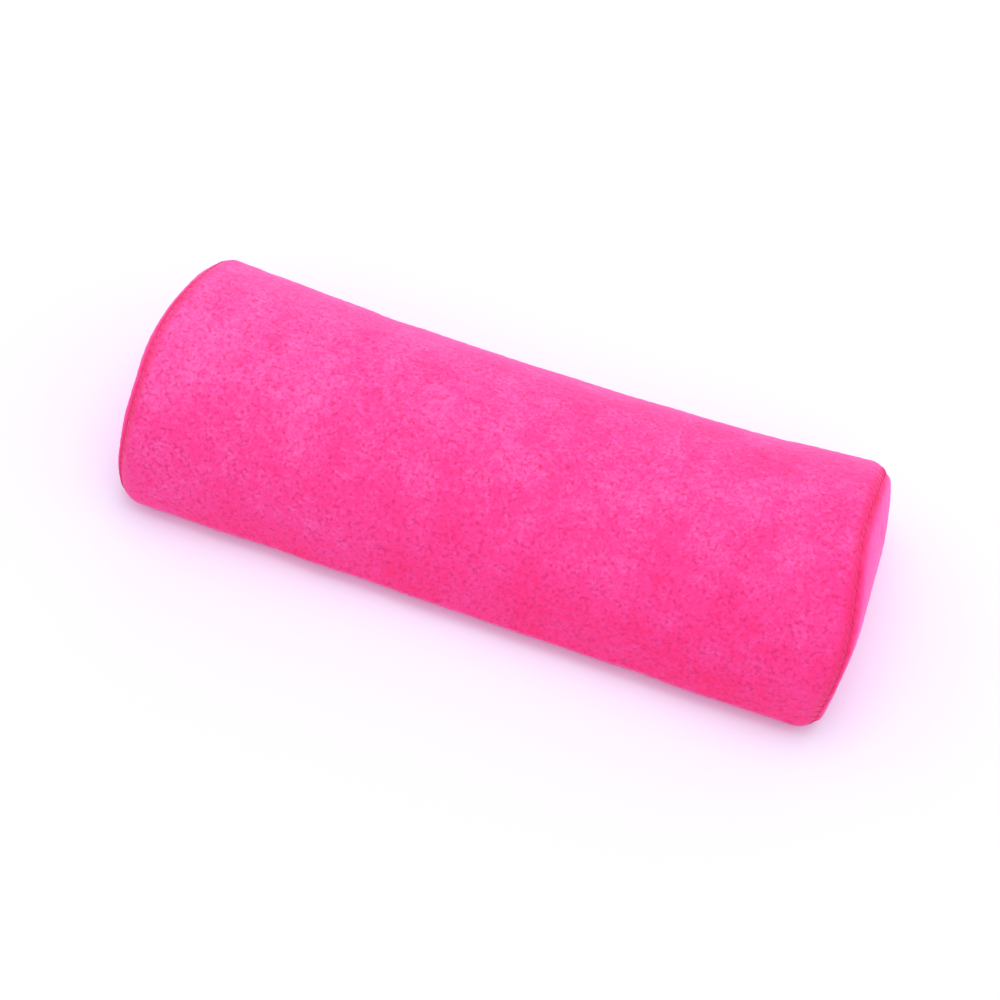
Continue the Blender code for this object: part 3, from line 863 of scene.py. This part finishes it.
def foamCore(c, f, p, material):
    # the cover's shape, further in by the fabric and a clearance, and raised to the channel's height
    # along the middle of its base
    coarse = dict(c, cell=f["cell"])
    columns = sectionColumns(coarse, withHems=False)
    depth = c["plush"] + f["clearance"]
    body = coverPoints(coarse, columns, alongShares(coarse), depth)
    crownX = p["crownLeft"] - depth
    left = domeRings(coarse, p, columns, -1, depth, 0, 0, crownX, f["rings"])[0][1:][::-1]
    right = domeRings(coarse, p, columns, 1, depth, 0, 0, crownX, f["rings"])[0][1:]
    points = np.concatenate([left, body, right])
    across = np.abs(points[..., 1])
    channel = np.where(across < f["dentHalf"], f["dentHeight"], f["hemHeight"])
    channel = np.where(across < f["hemHalf"], channel, 0)
    under = points[..., 2] < f["dentHeight"]
    points[..., 2] = np.where(under, np.maximum(points[..., 2], channel), points[..., 2])
    piece = makePiece("foamBlock", points, gridQuads(*points.shape[:2]).tolist(), material)
    closeUp(piece)
    settle(piece, "cushion", ["foam_core"])


# Stitches and the zip's coils.


def stitchPiece(name, starts, ends, ups, radius, lift, material):
    # each stitch is a bowed thread: start to end, raised by lift times the sine of its share, and
    # thinned at both ends by the root of that sine
    along, around, tip = 7, 6, 0.06  # sections, sides and the sine's least value at the ends
    share = np.linspace(0, 1, along)
    bow = np.sin(np.pi * share)
    line = starts[:, None] + (ends - starts)[:, None] * share[:, None]
    line = line + ups[:, None] * (lift * bow)[:, None]
    run = (ends - starts) / np.linalg.norm(ends - starts, axis=1)[:, None]
    sideways = np.cross(run, ups)
    turn = np.linspace(0, 2 * np.pi, around, endpoint=False)
    girth = radius * np.maximum(bow, tip) ** 0.5
    ring = sideways[:, None, None] * np.cos(turn)[:, None] + ups[:, None, None] * np.sin(turn)[:, None]
    points = line[:, :, None] + ring * girth[:, None, None]
    count = len(starts)
    index = np.arange(count * along * around).reshape(count, along, around)
    after = np.roll(index, -1, axis=2)
    quads = np.stack([index[:, :-1], after[:, :-1], after[:, 1:], index[:, 1:]], axis=-1).reshape(-1, 4)
    caps = np.concatenate([index[:, 0, ::-1], index[:, -1]])
    return makePiece(name, points, quads.tolist() + caps.tolist(), material)


seamStitch = {
    "pitch": 0.0034,
    "onWrap": 0.0034,  # how far each stitch reaches on to the wrap and on to the panel
    "onPanel": 0.0006,
    "slant": 0.0032,  # how far it runs along the seam
    "radius": 0.00046,
    "lift": 0.00022,
    "sink": 0.00022,  # how deep its ends go into the pile
    "outwards": 0.6,  # how much its bow leans towards the end of the rest
}


def alongLine(line, distance, where):
    # the points at the given distances along a line, by straight interpolation
    return np.stack([np.interp(where, distance, line[:, k]) for k in range(3)], axis=1)


def seamStitches(name, side, wrapGrid, panelGrid, columns, s, material):
    # Whipped over the end seam, from the wrap to the panel. The wrap's rows are near the seam, and
    # so are the panel's rings, so each end of the stitch lies on its own fabric.
    rows = wrapGrid if side < 0 else wrapGrid[::-1]
    wrapAway = np.linalg.norm(rows - rows[0], axis=2).mean(axis=1)
    panelAway = np.linalg.norm(panelGrid - panelGrid[0], axis=2).mean(axis=1)
    onWrap = rows[np.abs(wrapAway - s["onWrap"]).argmin()]
    onPanel = panelGrid[np.abs(panelAway - s["onPanel"]).argmin()]
    seam = rows[0]
    distance = np.r_[0, np.cumsum(np.linalg.norm(np.diff(seam, axis=0), axis=1))]
    at = np.arange(s["pitch"], distance[-1] - s["pitch"], s["pitch"])
    out = np.column_stack([np.full(len(columns), side * s["outwards"]), columns[:, 2:4]])
    out = alongLine(out, distance, at)
    out /= np.linalg.norm(out, axis=1)[:, None]
    slant = s["slant"] / 2 * side
    starts = alongLine(onWrap, distance, at + slant) - out * s["sink"]
    ends = alongLine(onPanel, distance, at - slant) - out * s["sink"]
    piece = stitchPiece(name, starts, ends, out, s["radius"], s["lift"], material)
    return settle(piece, "cushion")


hemStitch = {
    "pitch": 0.0032,
    "length": 0.0025,
    "ends": 0.138,  # how far the row reaches to either side of the middle
    "radius": 0.0002,
    "lift": 0.0003,
}


def hemStitches(name, way, c, s, material):
    # lockstitch along a hem, in the groove that it presses into the base
    middle = np.arange(-s["ends"], s["ends"], s["pitch"])
    level = np.ones(len(middle))
    spots = np.column_stack([middle, level * way * c["hemLine"], level * c["hemDepth"]])
    half = np.array([s["length"] / 2, 0, 0])
    ups = np.tile((0.0, 0.0, -1.0), (len(middle), 1))
    piece = stitchPiece(name, spots - half, spots + half, ups, s["radius"], s["lift"], material)
    return settle(piece, "cushion")


zipCoil = {
    "pitch": 0.00127,
    "wire": 0.00055,  # diameter
    "steps": 12,  # sections in a turn, and sides of the wire
    "sides": 6,
}


def coilTurns(name, node, late, z, material):
    # A helix of oval turns that fill the node's box: y and z follow the turn's cosine and sine, and
    # the wire's ring is set out along the oval's normal and the vector across it. It starts late by
    # this share of a pitch, so that the two coils mesh.
    low, high = (np.array(corner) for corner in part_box(node))
    turns = int((high[0] - low[0] - z["wire"]) / z["pitch"] - late)
    turn = np.linspace(0, 2 * np.pi * turns, turns * z["steps"] + 1)
    middle, half = (low + high) / 2, (high - low - z["wire"]) / 2
    x = low[0] + z["wire"] / 2 + z["pitch"] * (late + turn / (2 * np.pi))
    cos, sin = np.cos(turn), np.sin(turn)
    line = np.column_stack([x, middle[1] + half[1] * cos, middle[2] + half[2] * sin])
    out = np.column_stack([0 * turn, cos / half[1], sin / half[2]])
    run = np.column_stack([0 * turn + z["pitch"] / (2 * np.pi), -half[1] * sin, half[2] * cos])
    out /= np.linalg.norm(out, axis=1)[:, None]
    run /= np.linalg.norm(run, axis=1)[:, None]
    across = np.cross(run, out)
    turned = np.linspace(0, 2 * np.pi, z["sides"], endpoint=False)[:, None]
    ring = out[:, None] * np.cos(turned) + across[:, None] * np.sin(turned)
    points = line[:, None] + ring * z["wire"] / 2
    index = np.arange(points.shape[0] * z["sides"]).reshape(-1, z["sides"])
    after = np.roll(index, -1, axis=1)
    quads = np.stack([index[:-1], after[:-1], after[1:], index[1:]], axis=-1).reshape(-1, 4)
    caps = [index[0, ::-1].tolist(), index[-1].tolist()]
    piece = makePiece(name, points, quads.tolist() + caps, material)
    return settle(piece, "cushion", [node])


print("helpers ready")

plush = plushMaterial("shortPilePlush", plushFabric)
stretchedAndLit = dict(  # the same plush pulled tight over the domes, where its tufts part less; its colours are painted lighter, as painted light on the end domes
    plushFabric,
    base="#FB4EA2",
    deep="#F83A8A",
    pale="#FC6EC2",
    tuftShare=0.25,
    clumpShare=0.2,
    patchShare=0.3,
    speckShare=0.12,
)
panelPlushLit = plushMaterial("stretchedPlushPaintedLight", stretchedAndLit)
thread = threadMaterial(threadFinish)

wrapGrid, domeColumns = coverWrap(cushion, stuffing, plush)
print("plush wrap made")
ends = {"Left": (-1, "end_panel_left", 0), "Right": (1, "end_panel_right", -1)}
panelGrids = {}
for end, (side, node, row) in ends.items():
    name = "plushPanel" + end
    panelGrids[end] = endPanel(name, side, node, cushion, panel, stuffing, wrapGrid[row], panelPlushLit)
print("end panels made")
foamCore(cushion, foamBlock, panel, foamMaterial(foamFinish))
print("foam made")
for end, (side, node, row) in ends.items():
    name = "seamStitches" + end
    seamStitches(name, side, wrapGrid, panelGrids[end], domeColumns, seamStitch, thread)
print("end seams sewn")

hemStitches("hemStitchesFront", -1, cushion, hemStitch, thread)
hemStitches("hemStitchesBack", 1, cushion, hemStitch, thread)
nylon = nylonMaterial(nylonFinish)
coilTurns("coilTurnsFront", "zip_coil_front", 0.0, zipCoil, nylon)
coilTurns("coilTurnsBack", "zip_coil_back", 0.5, zipCoil, nylon)
print("zip coils and hems made")

tape, zinc = tapeMaterial(tapeFinish), zincMaterial(zincFinish)
for node, finish in {
    "zip_tape_front": tape,
    "zip_tape_back": tape,
    "zip_top_stop_front": zinc,
    "zip_top_stop_back": zinc,
    "zip_bottom_stop": zinc,
    "zip_slider": zinc,
    "zip_pull": zinc,
}.items():
    frame["nodes"][node].data.materials.clear()
    frame["nodes"][node].data.materials.append(finish)


# Floor, world and lamps.

studio = {
    "floor": "#F2F1FC",
    "floorSize": 6.0,
    "glow": (0.02, 0.0, 0.09),  # what the camera sees on top of the light that the floor sends back
    "horizon": 1.04,  # the sky's strength low down and straight up
    "zenith": 0.90,
    "lampPower": 2.2,
    "lampSize": 0.6,
    "lampSpot": (0.04, 0.16, 0.84),
    "lampAim": (-0.02, 0.0, 0.03),
}


def floorMaterial(s):
    # Matte white studio card, which the camera alone sees a little brighter, so that it is white in
    # the open and keeps its shadow.
    material, tree, shader = newMaterial("whiteStudioCard")
    setShader(
        shader,
        {
            "Base Color": linear(s["floor"]),
            "Roughness": 1.0,
            "Specular IOR Level": 0.0,
            "Emission Color": (*s["glow"], 1.0),
        },
    )
    seen = addNode(tree, "ShaderNodeLightPath")
    tree.links.new(seen.outputs["Is Camera Ray"], shader.inputs["Emission Strength"])
    return material


def skyStrength(tree, s):
    # from the horizon's strength to the zenith's by the height of the direction
    way = addNode(tree, "ShaderNodeTexCoord").outputs["Generated"]
    height = addNode(tree, "ShaderNodeSeparateXYZ", links={0: way}).outputs["Z"]
    levels = {"To Min": s["horizon"], "To Max": s["zenith"]}
    sky = addNode(tree, "ShaderNodeMapRange", levels, {"Value": height}).outputs["Result"]
    seen = addNode(tree, "ShaderNodeLightPath")
    white = addNode(
        tree,
        "ShaderNodeMath",
        {"operation": "MAXIMUM"},
        {0: seen.outputs["Is Camera Ray"], 1: seen.outputs["Is Glossy Ray"]},
    )
    return addNode(
        tree, "ShaderNodeMix", {"data_type": "FLOAT", 3: 1.0}, {0: white.outputs[0], 2: sky}
    ).outputs[0]


def studioSet(s):
    half = s["floorSize"] / 2
    corners = np.array([[-half, -half, 0], [half, -half, 0], [half, half, 0], [-half, half, 0]])
    makePiece("floor", corners, [[0, 1, 2, 3]], floorMaterial(s))
    world = bpy.data.worlds.new("studio")
    bpy.context.scene.world = world
    world.use_nodes = True
    tree = world.node_tree
    back = tree.nodes["Background"]
    back.inputs["Color"].default_value = (1, 1, 1, 1)
    tree.links.new(skyStrength(tree, s), back.inputs["Strength"])
    data = bpy.data.lights.new("softbox", "AREA")
    data.energy = s["lampPower"]
    data.size = s["lampSize"]
    lamp = bpy.data.objects.new("softbox", data)
    bpy.context.scene.collection.objects.link(lamp)
    lamp.location = s["lampSpot"]
    ahead = Vector(s["lampAim"]) - Vector(s["lampSpot"])
    lamp.rotation_euler = ahead.to_track_quat("-Z", "Y").to_euler()


studioSet(studio)
bpy.context.scene.view_settings.view_transform = "Standard"
print("studio ready")
